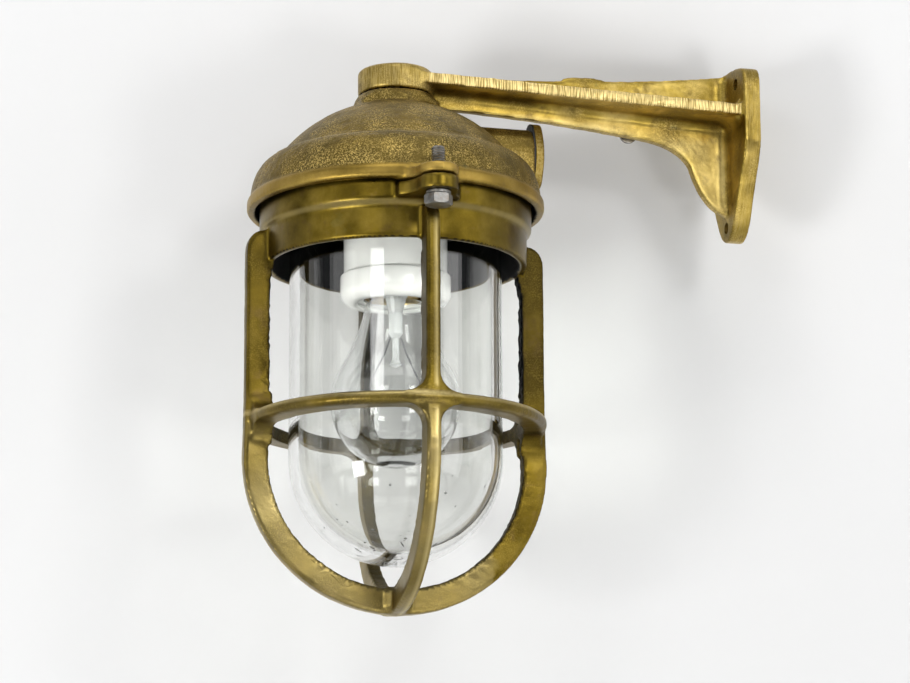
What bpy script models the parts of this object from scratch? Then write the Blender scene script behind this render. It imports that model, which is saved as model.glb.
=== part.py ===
"""Ship lantern: a brass ship's wall lamp, with a glass globe in a bolted cage and a cast wall bracket.

Metres, +Z up. The origin is on the wall face of the bracket's plate, and the wall is on the +X side.
The lamp hangs from the arm on a vertical axis at -X. All sizes below are millimetres, and heights are
measured from the lamp's own origin, which lies on its axis, PLATE_MIDDLE below the origin of the part.
"""

import math

import bmesh
import bpy
from mathutils import Matrix, Vector

MM = 0.001
GAP = 0.3  # left between pieces that touch

# Driving dimensions
AXIS_TO_WALL = 171.5
PLATE_MIDDLE = 105.0
RIM_RADIUS = 68.9
RING_RADIUS = 69.0
SIDE_RIB_RADIUS = 70.4  # outer face of the left and right ribs
BOLT_RIB_RADIUS = 68.0  # outer face of the two ribs that the closure bolts pass
GLASS_RADIUS = 49.0
GLASS_WALL = 4.5
DOME_RADIUS = 68.3
DOME_CENTRE = 44.7
CAP_WALL = 4.0
NECK_TOP = 116.8
HUB_RADIUS = 17.7
BOLT_CIRCLE = 76.0  # radius at which the two closure bolts stand
BOLT_HOLE = 3.45
GLAND_HEIGHT = 92.7
GLAND_FACE = 64.6
SEAT = 57.0  # ledge in the guard's collar that carries the glass
COLLAR_FOOT = 34.5
CAGE_BEND = -57.0  # below this the ribs curve in
CAGE_DEPTH = 69.5
RIB_WIDTH = 6.5
RIB_DEPTH = 11.0
BULB_TOP = 45.8
BULB_RADIUS = 30.0
BULB_CENTRE = -29.2


# Scene, groups and finishes

for old in list(bpy.data.objects):
    bpy.data.objects.remove(old, do_unlink=True)

PARTS = bpy.data.collections.new("ship_lantern")
CUTTERS = bpy.data.collections.new("cutters")
for group in (PARTS, CUTTERS):
    bpy.context.scene.collection.children.link(group)

LAMP = bpy.data.objects.new("lamp_axis", None)
LAMP.location = Vector((-AXIS_TO_WALL, 0, -PLATE_MIDDLE)) * MM
PARTS.objects.link(LAMP)


def finish(name, colour, roughness, metallic, alpha=1.0):
    made = bpy.data.materials.new(name)
    made.use_nodes = True
    shader = made.node_tree.nodes["Principled BSDF"]
    shader.inputs["Base Color"].default_value = (*colour, 1)
    shader.inputs["Roughness"].default_value = roughness
    shader.inputs["Metallic"].default_value = metallic
    shader.inputs["Alpha"].default_value = alpha
    made.diffuse_color = (*colour, alpha)
    return made


CAST_BRASS = finish("cast_brass", (0.29, 0.20, 0.06), 0.45, 1.0)
SHEET_BRASS = finish("sheet_brass", (0.72, 0.55, 0.24), 0.3, 1.0)
STEEL = finish("zinc_steel", (0.45, 0.45, 0.44), 0.4, 1.0)
CLEAR_GLASS = finish("clear_glass", (0.92, 0.95, 0.94), 0.03, 0.0, 0.3)
BULB_GLASS = finish("bulb_glass", (0.95, 0.96, 0.96), 0.02, 0.0, 0.3)
PORCELAIN = finish("porcelain", (0.86, 0.87, 0.85), 0.2, 0.0)
RUBBER = finish("black_rubber", (0.02, 0.02, 0.02), 0.7, 0.0)
BLACK_GLASS = finish("black_glass", (0.02, 0.02, 0.03), 0.15, 0.0)
TUNGSTEN = finish("tungsten_wire", (0.25, 0.25, 0.26), 0.45, 1.0)


# Modelling helpers

ROUND = 40  # facets on the large turned castings


def place(name, mesh, group, coat=None, at=(0, 0, 0), turn=None):
    """An object in the lamp's frame: `at` in millimetres, `turn` a rotation matrix."""
    made = bpy.data.objects.new(name, mesh)
    group.objects.link(made)
    made.parent = LAMP
    shift = Matrix.Translation(Vector(at) * MM)
    made.matrix_local = shift @ turn.to_4x4() if turn else shift
    if group is CUTTERS:
        made.hide_render = True
        made.display_type = "WIRE"
    if coat:
        mesh.materials.append(coat)
    return made


ALONG_X = Matrix(((0, 0, 1), (1, 0, 0), (0, 1, 0)))  # local XY becomes YZ, local Z becomes X
UPRIGHT = Matrix.Rotation(math.pi / 2, 3, "X")  # local XY becomes XZ


def turned(name, profile, group, coat=None, steps=32, at=(0, 0, 0), turn=None):
    """Profile points (radius, height), down the outer side; a profile off the axis is a closed ring."""
    mesh = bpy.data.meshes.new(name)
    last = len(profile) - 1
    edges = [(i, i + 1) for i in range(last)]
    if profile[0][0] > 0:
        edges.append((last, 0))
    mesh.from_pydata([(r * MM, 0, z * MM) for r, z in profile], edges, [])
    made = place(name, mesh, group, coat, at, turn)
    spin = made.modifiers.new("turn", "SCREW")
    spin.steps = spin.render_steps = steps
    spin.use_merge_vertices = True
    spin.merge_threshold = 0.00001
    spin.use_smooth_shade = True
    return made


def prism(name, outline, thickness, group, coat=None, at=(0, 0, 0), turn=None):
    """A flat outline of (x, y) points given a thickness, half to each side of its plane."""
    curve = bpy.data.curves.new(name, "CURVE")
    curve.dimensions = "2D"
    curve.fill_mode = "BOTH"
    curve.extrude = thickness * MM / 2
    spline = curve.splines.new("POLY")
    spline.points.add(len(outline) - 1)
    for point, (x, y) in zip(spline.points, outline):
        point.co = (x * MM, y * MM, 0, 1)
    spline.use_cyclic_u = True
    drawn = bpy.data.objects.new(name + "_outline", curve)
    CUTTERS.objects.link(drawn)
    graph = bpy.context.evaluated_depsgraph_get()
    mesh = bpy.data.meshes.new_from_object(drawn.evaluated_get(graph))
    bpy.data.objects.remove(drawn)
    bm = bmesh.new()
    bm.from_mesh(mesh)
    bmesh.ops.remove_doubles(bm, verts=bm.verts, dist=0.000005)
    bmesh.ops.recalc_face_normals(bm, faces=bm.faces)
    bm.to_mesh(mesh)
    bm.free()
    mesh.name = name
    return place(name, mesh, group, coat, at, turn)


def rod(name, radius, length, group, coat=None, at=(0, 0, 0), turn=None, sides=20):
    """A cylinder, or a hexagon with six sides, starting at `at` and running along local Z."""
    mesh = bpy.data.meshes.new(name)
    bm = bmesh.new()
    middle = Matrix.Translation((0, 0, length * MM / 2))
    bmesh.ops.create_cone(bm, cap_ends=True, segments=sides, radius1=radius * MM,
                          radius2=radius * MM, depth=length * MM, matrix=middle)
    bm.to_mesh(mesh)
    bm.free()
    return place(name, mesh, group, coat, at, turn)


def block(name, size, group, coat=None, at=(0, 0, 0)):
    mesh = bpy.data.meshes.new(name)
    bm = bmesh.new()
    bmesh.ops.create_cube(bm, size=1.0, matrix=Matrix.Diagonal((*(Vector(size) * MM), 1)))
    bm.to_mesh(mesh)
    bm.free()
    return place(name, mesh, group, coat, at)


def wire(name, route, radius, group, coat):
    """A round wire through the route's points."""
    curve = bpy.data.curves.new(name, "CURVE")
    curve.dimensions = "3D"
    curve.bevel_depth = radius * MM
    curve.bevel_resolution = 1
    curve.use_fill_caps = True
    spline = curve.splines.new("POLY")
    spline.points.add(len(route) - 1)
    for point, spot in zip(spline.points, route):
        point.co = (*(Vector(spot) * MM), 1)
    return place(name, curve, group, coat)


def combine(piece, *others, operation="UNION"):
    for other in others:
        step = piece.modifiers.new(operation.lower(), "BOOLEAN")
        step.operation = operation
        step.object = other


def cut(piece, *cutters):
    combine(piece, *cutters, operation="DIFFERENCE")


def weld(*pieces):
    """Closes the hair-thin slivers that joining and cutting leave behind."""
    for piece in pieces:
        step = piece.modifiers.new("weld", "WELD")
        step.merge_threshold = 0.00002


def arc(centre, radii, start, end, count):
    """Points on a quarter or half ellipse, angles in degrees from the first axis."""
    angles = [math.radians(start + (end - start) * i / count) for i in range(count + 1)]
    return [(centre[0] + radii[0] * math.cos(a), centre[1] + radii[1] * math.sin(a)) for a in angles]


def bend(start, corner, end, count):
    """Points on a smooth curve that leaves `start` and reaches `end` aiming at `corner`."""
    a, b, c = Vector(start), Vector(corner), Vector(end)
    steps = [i / count for i in range(count + 1)]
    return [tuple(a * (1 - t) ** 2 + b * 2 * t * (1 - t) + c * t * t) for t in steps]


def mirrored(half):
    """A closed outline from the half at +x, which starts and ends on the middle line."""
    return half + [(-x, y) for x, y in reversed(half[1:-1])]


# Wall bracket: hub, upright web, level flange and wall plate, all one casting

ARM_THICK = 5.0
ARM_EDGE_THICK = 5.2
PLATE_THICK = 8.4
PLATE_FRONT = AXIS_TO_WALL - PLATE_THICK
SCREW_HOLE = 2.75
HUB_UNDERSIDE = NECK_TOP + GAP

hub_profile = [(0, 130.2), (12, 129.9), (16.4, 129.2), (17.4, 128.5), (HUB_RADIUS, 127.6),
               (HUB_RADIUS, 118.0), (17.1, HUB_UNDERSIDE), (0, HUB_UNDERSIDE)]
bracket = turned("bracket", hub_profile, PARTS, CAST_BRASS, steps=40)

web_outline = (
    [(6, 118.4), (18.4, 118.4), (20.2, 117)]
    + bend((20.2, 112.6), (75, 111), (120, 105.1), 5)
    + bend((120, 105.1), (139, 103), (144.6, 93), 6)[1:]
    + bend((144.6, 93), (151.3, 72), (PLATE_FRONT + 1, 69.5), 6)[1:]
    + [(PLATE_FRONT + 1, 138.9)]
    + bend((PLATE_FRONT - 1, 138.9), (110, 131), (41, 128.9), 6)
    + [(6, 129)]
)
web = prism("bracket_web", web_outline, ARM_THICK, CUTTERS, turn=UPRIGHT)

FLANGE_LEAN = math.radians(-2.7)  # the flange drops a little towards the wall
FLANGE_END = PLATE_FRONT + 2
flange_outline = [(0, 15.4), (96, 21.5), (FLANGE_END, 27), (FLANGE_END, -27), (96, -21.5), (0, -15.4)]
flange = prism("bracket_flange", flange_outline, ARM_EDGE_THICK, CUTTERS,
               at=(0, 0, 123.95), turn=Matrix.Rotation(-FLANGE_LEAN, 3, "Y"))

plate_half = (
    [(0, 140.3)]
    + bend((8, 139.9), (20, 139.2), (25, 136.6), 3)
    + bend((25, 136.6), (28, 134.6), (28, 130), 3)[1:]
    + bend((28, 102), (27.6, 95), (21, 85), 4)
    + bend((13, 69), (7.6, 57.4), (0, 57.4), 5)
)
plate = prism("bracket_plate", mirrored(plate_half), PLATE_THICK, CUTTERS,
              at=(PLATE_FRONT + PLATE_THICK / 2, 0, 0), turn=ALONG_X)
stub = prism("gate_stub", [(79, 129), (82, 132.6), (93, 133.6), (101, 133.6), (104, 129)], 4.4,
             CUTTERS, turn=UPRIGHT)
combine(bracket, web, flange, plate, stub)

WALL_SCREWS = {"left": (-16.8, 131), "right": (16.8, 131), "foot": (0, 64.3)}
for side, (across, height) in WALL_SCREWS.items():
    hole = rod("wall_screw_hole_" + side, SCREW_HOLE, PLATE_THICK + 4, CUTTERS,
               at=(PLATE_FRONT - 2, across, height), turn=ALONG_X)
    cut(bracket, hole)

HUB_BOLT_RADIUS = 5.0
cut(bracket, rod("hub_bolt_bore", HUB_BOLT_RADIUS + GAP, 10, CUTTERS, at=(0, 0, 116)))

EARTH_SCREW = (115.5, 108.3)  # along the arm, height
cut(bracket, rod("earth_screw_hole", 1.8, 8, CUTTERS,
                 at=(EARTH_SCREW[0], 4, EARTH_SCREW[1]), turn=UPRIGHT, sides=12))
earth_profile = [(0, 6.2), (2.6, 5.8), (4.0, 4.6), (4.25, 3.4), (4.25, 2.5 + GAP), (1.5, 2.5 + GAP),
                 (1.5, -2.4), (0, -2.4)]
turned("earth_screw", earth_profile, PARTS, STEEL, steps=14,
       at=(EARTH_SCREW[0], 0, EARTH_SCREW[1]), turn=Matrix.Rotation(-math.pi / 2, 3, "X"))


# Cap: domed brass casting with a hexagonal neck, two bolt lugs and a cable gland boss

SHOULDER = (55.5, 84.5)  # radius and height where the dome meets the shoulder
dome_line = arc((0, DOME_CENTRE), (DOME_RADIUS, DOME_RADIUS), 76, 36.5, 5)
shoulder_line = arc((55.5, 66), (11.6, 18), 78, 0, 3)
cap_profile = (
    [(0, 112), (16, 111)] + dome_line + [SHOULDER] + shoulder_line
    + [(68.2, 66.0), (RIM_RADIUS, 65.2), (RIM_RADIUS, 61.0), (68.3, 60.2), (65.5, 59.7), (0, 59.7)]
)
cap = turned("cap_dome", cap_profile, PARTS, CAST_BRASS, steps=ROUND)

NECK_CORNER = 21.6
neck = rod("neck_hexagon", NECK_CORNER, 20, CUTTERS, at=(0, 0, NECK_TOP - 20), sides=6)
neck_cone = turned("neck_chamfer", [(0, NECK_TOP + 1), (17.9, NECK_TOP + 1), (17.9, NECK_TOP),
                                    (24.2, 108), (24.2, 95), (0, 95)], CUTTERS, steps=24)
combine(neck, neck_cone, operation="INTERSECT")
combine(cap, neck)


def lug(name, side, low, high, root_reach):
    """A bolt lug on the rim at +Y or -Y, rooted in the wall at `root_reach`."""
    reach = side * BOLT_CIRCLE
    tip = arc((0, reach), (9, 9 * side), 0, 180, 10)
    root = [(-14.5, side * root_reach), (14.5, side * root_reach)]
    foot = bend((10.5, side * 66.5), (9, side * 69), (9, reach), 2)[:-1]
    outline = [root[1], *foot, *tip, *[(-x, y) for x, y in reversed(foot)], root[0]]
    return prism(name, outline, high - low, CUTTERS, at=(0, 0, (low + high) / 2))


UPPER_LUG = (58.9, 63.6)
LOWER_LUG = (51.8, 58.3)
SIDES = {"front": -1, "back": 1}
for end, side in SIDES.items():
    combine(cap, lug("cap_lug_" + end, side, *UPPER_LUG, 62))

BOSS_RADIUS = 12.5
boss_outline = arc((0, GLAND_HEIGHT), (BOSS_RADIUS, BOSS_RADIUS), 0, 180, 14) + [
    (-BOSS_RADIUS, 67), (BOSS_RADIUS, 67)]
boss = prism("gland_boss", boss_outline, 34, CUTTERS, at=(GLAND_FACE - 17, 0, 0), turn=ALONG_X)
combine(cap, boss)

CLAMP_LEDGE = 68.2
POST_BOTTOM = 78.3
inner_line = arc((0, DOME_CENTRE), (DOME_RADIUS - CAP_WALL, DOME_RADIUS - CAP_WALL), 71.9, 36, 4)
cavity_profile = (
    [(0, 105.8)] + inner_line
    + [(59, 79.2), (61, 74.5), (61, 71.7), (50.5, 71.7), (50.5, CLAMP_LEDGE), (64.9, CLAMP_LEDGE),
       (64.9, 50), (0, 50)]
)
cavity = turned("cap_cavity", cavity_profile, CUTTERS, steps=ROUND)
POST_REACH = 44.0
for end, side in SIDES.items():
    post = rod("bar_post_" + end, 4.5, 30, CUTTERS, at=(0, side * POST_REACH, POST_BOTTOM), sides=16)
    cut(cavity, post)
cut(cap, cavity)

for end, side in SIDES.items():
    cut(cap, rod("cap_lug_hole_" + end, BOLT_HOLE, 16, CUTTERS, at=(0, side * BOLT_CIRCLE, 53)),
        rod("post_hole_" + end, 2.2, 12, CUTTERS, at=(0, side * POST_REACH, POST_BOTTOM - 1), sides=12))
cut(cap, rod("neck_bore", HUB_BOLT_RADIUS + GAP, 16, CUTTERS, at=(0, 0, 103)))

hub_bolt = turned("hub_bolt", [(0, 124.6), (4.2, 124.6), (HUB_BOLT_RADIUS, 123.8), (HUB_BOLT_RADIUS, 102),
                               (0, 102)], PARTS, STEEL, steps=20)
combine(hub_bolt, rod("hub_bolt_head", 9.8, 6.4, CUTTERS, at=(0, 0, 96.5), sides=6))


def spring_washer(name, bore, radius, low, high, x=0, y=0):
    """A sprung ring, split on one side."""
    ring = turned(name, [(bore, high), (radius, high), (radius, low), (bore, low)], PARTS, STEEL,
                  steps=18, at=(x, y, 0))
    cut(ring, block(name + "_split", (radius * 1.6, 0.8, high - low + 2), CUTTERS,
                    at=(x + radius * 1.2, y, (low + high) / 2)))
    return ring


spring_washer("hub_washer", HUB_BOLT_RADIUS + GAP, 9.0, 103.2, 105.5)


# Cable gland: gasket, oval flange, rubber seal and two countersunk screws on the boss

SEAL_RADIUS = 6.2
SEAL_BORE = 3.8
SEAL_DEPTH = 11.5
GASKET_THICK = 0.7
GLAND_FLANGE_THICK = 4.0
GLAND_SCREW_SPACING = 9.4
GLAND_WIDE = 9.5
GLAND_TALL = 15.9

gasket_face = GLAND_FACE + GAP
flange_face = gasket_face + GASKET_THICK + GAP
flange_front = flange_face + GLAND_FLANGE_THICK
cut(cap, rod("seal_pocket", SEAL_RADIUS + GAP, 20, CUTTERS,
             at=(GLAND_FACE - SEAL_DEPTH, 0, GLAND_HEIGHT), turn=ALONG_X, sides=24),
    rod("cable_bore", 5, 40, CUTTERS, at=(GLAND_FACE - 30, 0, GLAND_HEIGHT), turn=ALONG_X, sides=20))


def gland_oval():
    ends = arc((0, GLAND_TALL - 6.5), (6.5, 6.5), 30, 90, 4)
    flank = bend((GLAND_WIDE, 0), (GLAND_WIDE, 6), ends[0], 4)
    quarter = flank + ends[1:]
    half = quarter + [(-x, y) for x, y in reversed(quarter[:-1])]
    return half + [(-x, -y) for x, y in half[1:-1]]


def gland_plate(name, face, thick, bore, coat):
    made = prism(name, gland_oval(), thick, PARTS, coat, at=(face + thick / 2, 0, GLAND_HEIGHT),
                 turn=ALONG_X)
    cut(made, rod(name + "_bore", bore, thick + 4, CUTTERS, at=(face - 2, 0, GLAND_HEIGHT),
                  turn=ALONG_X, sides=20))
    return made


gland_gasket = gland_plate("gland_gasket", gasket_face, GASKET_THICK, SEAL_RADIUS + GAP, RUBBER)
gland_flange = gland_plate("gland_flange", flange_face, GLAND_FLANGE_THICK, 4.9, CAST_BRASS)
seal_length = SEAL_DEPTH - GAP + gasket_face + GASKET_THICK - GLAND_FACE
turned("gland_seal", [(SEAL_BORE, seal_length), (SEAL_RADIUS, seal_length), (SEAL_RADIUS, 0), (SEAL_BORE, 0)],
       PARTS, RUBBER, steps=20, at=(GLAND_FACE - SEAL_DEPTH + GAP, 0, GLAND_HEIGHT), turn=ALONG_X)

for end, side in {"upper": 1, "lower": -1}.items():
    spot = (0, 0, GLAND_HEIGHT + side * GLAND_SCREW_SPACING)
    hole = turned("gland_screw_hole_" + end, [(0, 1), (3.4, 1), (3.4, -0.1), (1.8, -1.8), (1.8, -15), (0, -15)],
                  CUTTERS, steps=16, at=(flange_front, 0, spot[2]), turn=ALONG_X)
    for piece in (gland_flange, gland_gasket, cap):
        cut(piece, hole)
    turned("gland_screw_" + end, [(0, -0.1), (3.0, -0.1), (3.0, -0.3), (1.5, -1.85), (1.5, -14.5), (0, -14.5)],
           PARTS, STEEL, steps=16, at=(flange_front, 0, spot[2]), turn=ALONG_X)


# Lampholder: porcelain body on a steel bar, screwed ring, threaded shell, contact and terminals

BAR_LOW, BAR_HIGH = 76.0, 78.0
HOLDER_TOP = BAR_LOW - GAP
HOLDER_SCREW = 8.0
bar = block("lampholder_bar", (14, 98, BAR_HIGH - BAR_LOW), PARTS, STEEL, at=(0, 0, (BAR_LOW + BAR_HIGH) / 2))

holder = turned("lampholder_body", [(0, HOLDER_TOP), (18, HOLDER_TOP), (20.3, 74), (21, 66), (24, 60.5),
                                    (24, 30.6), (21.6, 30.6), (21.6, 19), (14.8, 19), (14.8, 50.6),
                                    (0, 50.6)], PARTS, PORCELAIN, steps=28)
turned("lampholder_ring", [(22, 30.3), (25.6, 30.3), (25.6, 19), (24, 17), (17.5, 17), (17.5, 18.6), (22, 18.6)],
       PARTS, PORCELAIN, steps=28)
turned("lampholder_shell", [(13.6, 46), (14.4, 46), (14.4, 20), (13.6, 20)], PARTS, SHEET_BRASS, steps=24)
turned("centre_contact", [(0, 50.3), (8, 50.3), (8, 49.4), (4, 49.4), (2.6, 46.6), (0, 46.2)],
       PARTS, SHEET_BRASS, steps=16)


def pan_screw(name, x, y, face, down, head, shank, length, coat=STEEL):
    """A pan-head screw whose head bears on `face`; `down` is -1 when the shank runs downwards."""
    turn = Matrix.Rotation(math.pi, 3, "X") if down > 0 else None
    turned(name, [(0, 2.3), (head * 0.7, 2.2), (head, 1), (head, 0), (shank, 0), (shank, -length), (0, -length)],
           PARTS, coat, steps=10, at=(x, y, face), turn=turn)


for end, side in SIDES.items():
    cut(bar, rod("bar_hole_" + end, 2.2, 8, CUTTERS, at=(0, side * POST_REACH, 73), sides=12),
        rod("holder_screw_hole_" + end, 1.8, 20, CUTTERS, at=(0, side * HOLDER_SCREW, 64), sides=12))
    cut(holder, bpy.data.objects["holder_screw_hole_" + end])
    pan_screw("bar_screw_" + end, 0, side * POST_REACH, BAR_LOW - GAP, 1, 3.8, 1.9, 11)
    pan_screw("lampholder_screw_" + end, 0, side * HOLDER_SCREW, BAR_HIGH + GAP, -1, 3.0, 1.5, 13)
for end, side in {"left": -1, "right": 1}.items():
    clamp = block("terminal_" + end, (5, 8, 5), PARTS, SHEET_BRASS, at=(side * 13, 0, HOLDER_TOP + GAP + 2.5))
    cut(clamp, rod("terminal_hole_" + end, 1.6, 8, CUTTERS, at=(side * 13, 0, HOLDER_TOP + 2), sides=12))
    pan_screw("terminal_screw_" + end, side * 13, 0, HOLDER_TOP + 2 * GAP + 5, -1, 2.4, 1.3, 3, SHEET_BRASS)


# Guard: collar, bolt lugs, four ribs and a ring, all one casting, with the glass seated in it

collar_profile = [(0, 66), (62.3, 66), (63, 65.3), (63, 51.5), (60.8, 49.6), (60.6, 49), (60.6, COLLAR_FOOT + 0.5),
                  (60.1, COLLAR_FOOT), (0, COLLAR_FOOT)]
guard = turned("guard_cage", collar_profile, PARTS, CAST_BRASS, steps=ROUND)


def rib_pair(name, radius, turn):
    """Two opposite ribs in one U, from the collar down and round under the glass."""
    inside = radius - RIB_DEPTH
    outer = [(58.8, 48.5)] + bend((60.6, 48.5), (radius, 48.5), (radius, 38), 4) + [(radius, -30)] \
        + arc((0, CAGE_BEND), (radius + 0.6, CAGE_DEPTH), 0, -90, 12)
    inner = [(0, CAGE_BEND - CAGE_DEPTH + RIB_DEPTH + 0.5)] \
        + arc((0, CAGE_BEND), (inside + 0.5, CAGE_DEPTH - RIB_DEPTH - 0.5), -80, 0, 9) \
        + [(inside, -30), (inside, 24), (58.8, 33)]
    left = [(-x, y) for x, y in reversed(outer[:-1])]
    hollow = [(-x, y) for x, y in reversed(inner[1:])]
    return prism(name, outer + left + hollow + inner, RIB_WIDTH, CUTTERS, turn=turn)


CAGE_BOTTOM = CAGE_BEND - CAGE_DEPTH
crossing = turned("rib_crossing", [(0, CAGE_BOTTOM + 12.2), (6, CAGE_BOTTOM + 11.8), (7, CAGE_BOTTOM + 10),
                                   (7, CAGE_BOTTOM + 2), (5, CAGE_BOTTOM - 0.2), (0, CAGE_BOTTOM - 0.2)],
                  CUTTERS, steps=16)
combine(guard, crossing, rib_pair("ribs_left_right", SIDE_RIB_RADIUS, UPRIGHT),
        rib_pair("ribs_front_back", BOLT_RIB_RADIUS, Matrix.Rotation(math.pi / 2, 3, "Z") @ UPRIGHT))
combine(guard, turned("cage_ring", [(58.2, -36.2), (67.6, -36.2), (RING_RADIUS, -37.6), (RING_RADIUS, -40.6),
                                    (67.6, -42), (58.2, -42.4)], CUTTERS, steps=ROUND))
for end, side in SIDES.items():
    combine(guard, lug("guard_lug_" + end, side, *LOWER_LUG, 58))
cut(guard, turned("collar_bore", [(0, 70), (59.5, 70), (59.5, SEAT), (52, SEAT), (52, 54), (53, 50),
                                  (57.3, COLLAR_FOOT - 0.1), (57.3, COLLAR_FOOT - 1), (0, COLLAR_FOOT - 1)],
                  CUTTERS, steps=ROUND))
for end, side in SIDES.items():
    cut(guard, rod("guard_lug_hole_" + end, BOLT_HOLE, 14, CUTTERS, at=(0, side * BOLT_CIRCLE, 48)))

turned("lower_gasket", [(50.5, 59.3), (59, 59.3), (59, SEAT + GAP), (50.5 + 2, SEAT + GAP)], PARTS, RUBBER, steps=32)
turned("upper_gasket", [(50.8, 67.9), (58.5, 67.9), (58.5, 65.9), (50.8, 65.9)], PARTS, RUBBER, steps=32)

GLASS_BEND = -55.2  # below this the globe is a half sphere
glass_inner = GLASS_RADIUS - GLASS_WALL
glass_profile = (
    [(57.9, 65.6), (58.5, 65), (58.5, 60.1), (58, 59.6), (50.2, 59.6), (GLASS_RADIUS, 57)]
    + arc((0, GLASS_BEND), (GLASS_RADIUS, GLASS_RADIUS), 0, -90, 7)
)
glass_inside = [(46, 63.5), (glass_inner, 58)] + arc((0, GLASS_BEND), (glass_inner, glass_inner), 0, -90, 6)
globe = turned("glass_globe", [(0, 65.6)] + glass_profile, PARTS, CLEAR_GLASS, steps=36)
cut(globe, turned("globe_hollow", [(0, 70), (48.5, 70), (48.5, 65.4)] + glass_inside, CUTTERS, steps=36))


# Closure bolts: hexagon bolts with spring washers, up through the guard's lugs into the cap's

THREAD_RADIUS = 3.15
HEAD_LOW, HEAD_HIGH = 45.2, 49.9
BOLT_TIP = 72.0
for end, side in SIDES.items():
    y = side * BOLT_CIRCLE
    shank = turned("closure_bolt_" + end, [(0, BOLT_TIP), (2.5, BOLT_TIP), (THREAD_RADIUS, BOLT_TIP - 0.8),
                                           (THREAD_RADIUS, HEAD_LOW + 2), (0, HEAD_LOW + 2)], PARTS, STEEL,
                   steps=20, at=(0, y, 0))
    combine(shank, rod("closure_head_" + end, 6.5, HEAD_HIGH - HEAD_LOW, CUTTERS, at=(0, y, HEAD_LOW), sides=6))
    spring_washer("closure_washer_" + end, THREAD_RADIUS + GAP, 5.6, HEAD_HIGH + GAP, LOWER_LUG[0] - GAP, y=y)


# Bulb: pear-shaped clear lamp on a screw cap

CAP_FOOT = 20.0
turned("bulb_contact", [(0, BULB_TOP), (3, 45.6), (4.6, 44.7), (4.6, 44.1), (0, 44.1)], PARTS, SHEET_BRASS, steps=16)
turned("bulb_insulator", [(0, 43.8), (5, 43.8), (8.6, 42.2), (8.6, 40.8), (0, 40.8)], PARTS, BLACK_GLASS, steps=20)
turned("bulb_cap", [(9.2, 42), (10.2, 42), (13.1, 38.6), (13.1, CAP_FOOT), (12.5, CAP_FOOT), (12.5, 38.2),
                    (9.9, 41.3), (9.2, 41.3)], PARTS, SHEET_BRASS, steps=24)
neck_outside = [(12.1, 33), (12.1, 19.7), (14.4, 17), (15.2, 10), (17.6, 2), (21.6, -7)]
neck_inside = [(11.1, 33), (11.1, 19.3), (13.3, 16.6), (14.2, 10.2), (16.6, 2.4), (20.7, -6.5)]
ball = arc((0, BULB_CENTRE), (BULB_RADIUS, BULB_RADIUS), 28, -90, 6)
ball_inside = arc((0, BULB_CENTRE), (BULB_RADIUS - 1, BULB_RADIUS - 1), 28, -90, 6)
envelope = turned("bulb_glass", [(0, 33)] + neck_outside + ball, PARTS, BULB_GLASS, steps=24)
cut(envelope, turned("bulb_hollow", [(0, 36), (11.1, 36)] + neck_inside + ball_inside, CUTTERS, steps=24))
turned("bulb_stem", [(0, 30.5), (3, 30.5), (3, 28), (10.6, 27.6), (10.6, 26.6), (5, 20), (3.2, 13), (3.2, 3),
                     (1.6, 1), (1.6, -9), (3, -11.5), (0, -13)], PARTS, BULB_GLASS, steps=16)
for end, side in {"left": -1, "right": 1}.items():
    wire("bulb_lead_" + end, [(side * 2.6, 0, 1.2), (side * 5, 0, -6), (side * 11, 0, -18), (side * 12.4, 0, -22)],
         0.4, PARTS, TUNGSTEN)
filament_route = [(12.2 * math.cos(a), 0, -22.9 - 3.2 * math.sin(a) * math.sin(a))
                  for a in (math.pi * i / 10 for i in range(11))]
wire("bulb_filament", filament_route, 0.45, PARTS, TUNGSTEN)

weld(bracket, cap, guard, globe, envelope)
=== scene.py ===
import math
import random

import bmesh
import bpy
import numpy as np
from mathutils import Matrix, Vector, noise


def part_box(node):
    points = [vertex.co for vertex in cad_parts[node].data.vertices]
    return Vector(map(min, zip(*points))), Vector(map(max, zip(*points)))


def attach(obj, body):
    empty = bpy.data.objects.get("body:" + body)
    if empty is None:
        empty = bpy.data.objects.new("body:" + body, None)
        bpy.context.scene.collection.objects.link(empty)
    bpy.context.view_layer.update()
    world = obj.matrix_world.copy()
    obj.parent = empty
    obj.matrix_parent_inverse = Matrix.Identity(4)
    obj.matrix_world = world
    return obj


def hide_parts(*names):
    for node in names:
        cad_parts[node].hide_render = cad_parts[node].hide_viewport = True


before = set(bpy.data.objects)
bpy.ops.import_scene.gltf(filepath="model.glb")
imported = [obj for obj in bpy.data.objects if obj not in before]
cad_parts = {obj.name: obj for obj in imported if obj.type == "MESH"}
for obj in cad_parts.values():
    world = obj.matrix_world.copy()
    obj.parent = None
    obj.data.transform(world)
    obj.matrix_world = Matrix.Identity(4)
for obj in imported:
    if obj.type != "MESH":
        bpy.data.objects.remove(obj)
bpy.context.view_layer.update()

# The lamp's own frame. Every size below is in millimetres from the lamp's axis, and heights are
# counted from a level 65.6 mm under the rim of the glass. The wall is at +X and the front is -Y.
MM = 0.001
glass_low, glass_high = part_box("glass_globe")
AXIS_X = (glass_low[0] + glass_high[0]) / 2
LEVEL = glass_high[2] - 65.6 * MM
TO_ROW = Matrix.Translation((AXIS_X, 0, LEVEL)) @ Matrix.Scale(MM, 4)
rng = random.Random(11)


# Camera, backdrop and studio lights. The lamp is seen from the left of its front and a little from
# below, against a pale sheet that stands square to that view behind it, with soft light all round.

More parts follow.
